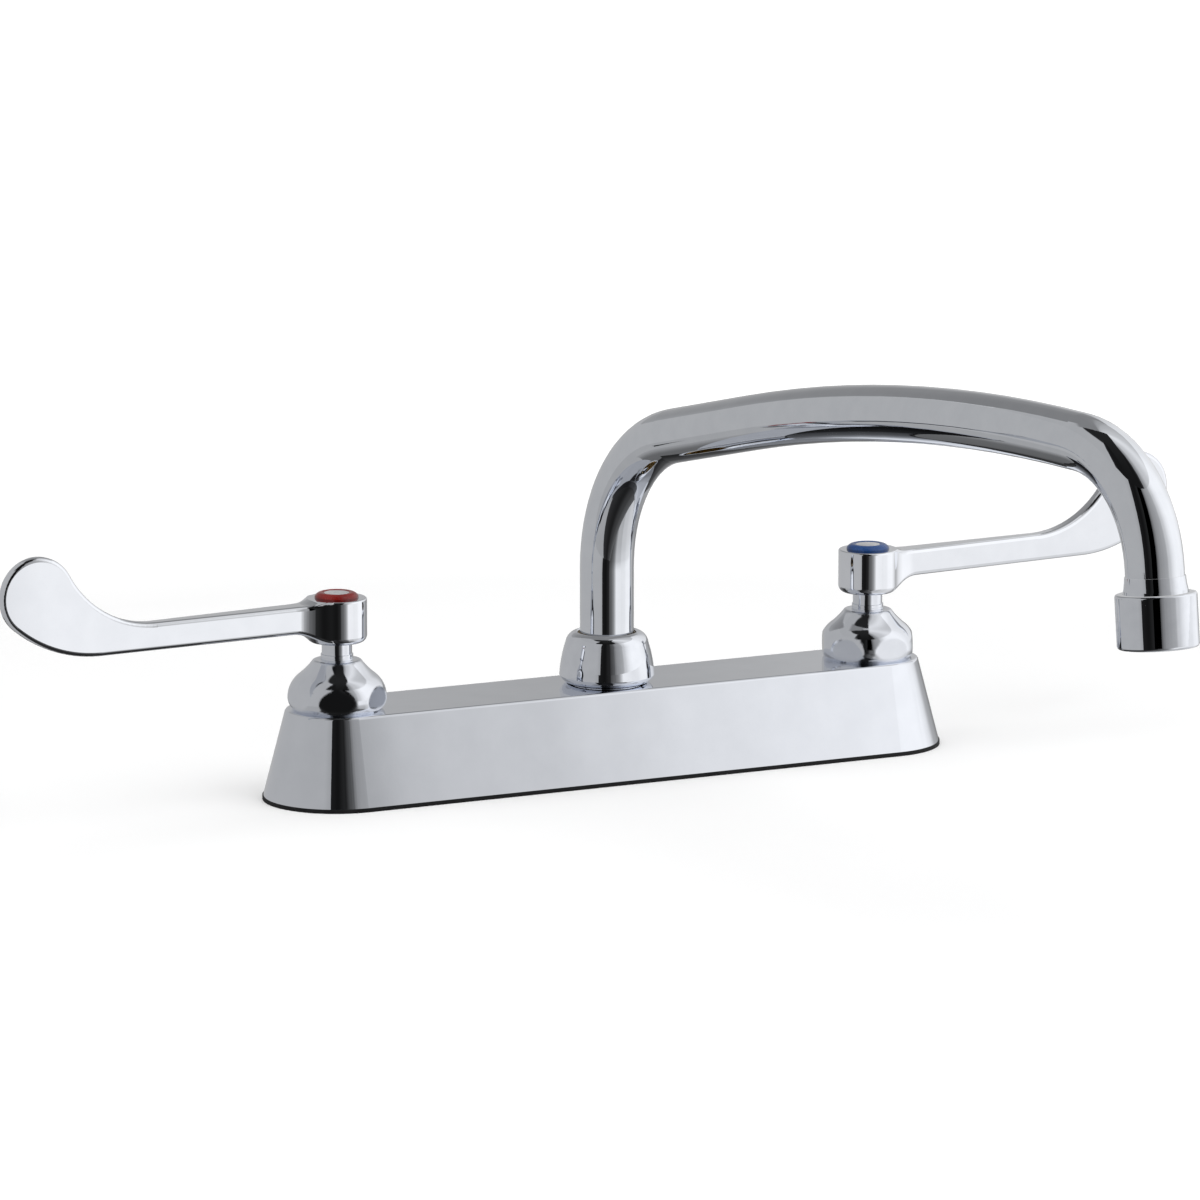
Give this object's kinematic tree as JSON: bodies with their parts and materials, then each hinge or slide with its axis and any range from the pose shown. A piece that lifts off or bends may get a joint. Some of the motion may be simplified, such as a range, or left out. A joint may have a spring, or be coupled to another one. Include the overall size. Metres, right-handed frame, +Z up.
{
  "type": "deck-mount faucet",
  "caption": "Deck-mount kitchen faucet with a drafted bridge body, bell bonnets, upturned wrist-blade handles and a swivelling low-arch tube spout that ends in an aerator.",
  "frame": {"origin": "on the deck, at the gasket's underside, midway between the two valves", "axes": "+X towards the cold valve, -Y towards the user, +Z up"},
  "size_m": [0.4551, 0.3404, 0.2113],
  "materials": {
    "polished_chrome": "mirror polished",
    "black_rubber": "matt",
    "bare_brass": "machined",
    "zinc_steel": "zinc plated",
    "white_acetal": "moulded",
    "white_ceramic": "lapped",
    "stainless_screen": "woven",
    "hot_red": "gloss",
    "cold_blue": "gloss",
    "index_pale": "gloss"
  },
  "bodies": {
    "base": {"deck_body": "polished_chrome", "base_gasket": "black_rubber", "shank_washers": "zinc_steel", "shank_lock_nuts": "bare_brass", "spout_nut": "polished_chrome", "spout_bearing_ring": "white_acetal", "spout_slip_ring": "white_acetal", "hot_inlet_shank": "bare_brass", "hot_seat_seal": "black_rubber", "hot_cartridge_barrel": "bare_brass", "hot_fixed_disc": "white_ceramic", "hot_bonnet": "polished_chrome", "cold_inlet_shank": "bare_brass", "cold_seat_seal": "black_rubber", "cold_cartridge_barrel": "bare_brass", "cold_fixed_disc": "white_ceramic", "cold_bonnet": "polished_chrome"},
    "spout": {"spout_tube": "polished_chrome", "spout_collar": "bare_brass", "spout_seals": "black_rubber", "outlet_fitting": "polished_chrome", "aerator_shell": "polished_chrome", "aerator_washer": "black_rubber", "aerator_insert": "white_acetal", "aerator_screen": "stainless_screen"},
    "hot_lever": {"hot_stem": "polished_chrome", "hot_moving_disc": "white_ceramic", "hot_stem_seal": "black_rubber", "hot_stem_clip": "polished_chrome", "hot_handle": "polished_chrome", "hot_handle_screw": "zinc_steel", "hot_index_ring": "hot_red", "hot_index_centre": "index_pale"},
    "cold_lever": {"cold_stem": "polished_chrome", "cold_moving_disc": "white_ceramic", "cold_stem_seal": "black_rubber", "cold_stem_clip": "polished_chrome", "cold_handle": "polished_chrome", "cold_handle_screw": "zinc_steel", "cold_index_ring": "cold_blue", "cold_index_centre": "index_pale"}
  },
  "joints": [
    {"name": "spout_swivel", "type": "hinge", "parent": "base", "child": "spout", "pos_m": [0, 0, 0.0446], "axis": [0, 0, 1], "continuous": true},
    {"name": "hot_handle_turn", "type": "hinge", "parent": "base", "child": "hot_lever", "pos_m": [-0.1016, 0, 0.0615], "axis": [0, 0, 1], "range_deg": [0, 90]},
    {"name": "cold_handle_turn", "type": "hinge", "parent": "base", "child": "cold_lever", "pos_m": [0.1016, 0, 0.0615], "axis": [0, 0, 1], "range_deg": [-90, 0]}
  ]
}
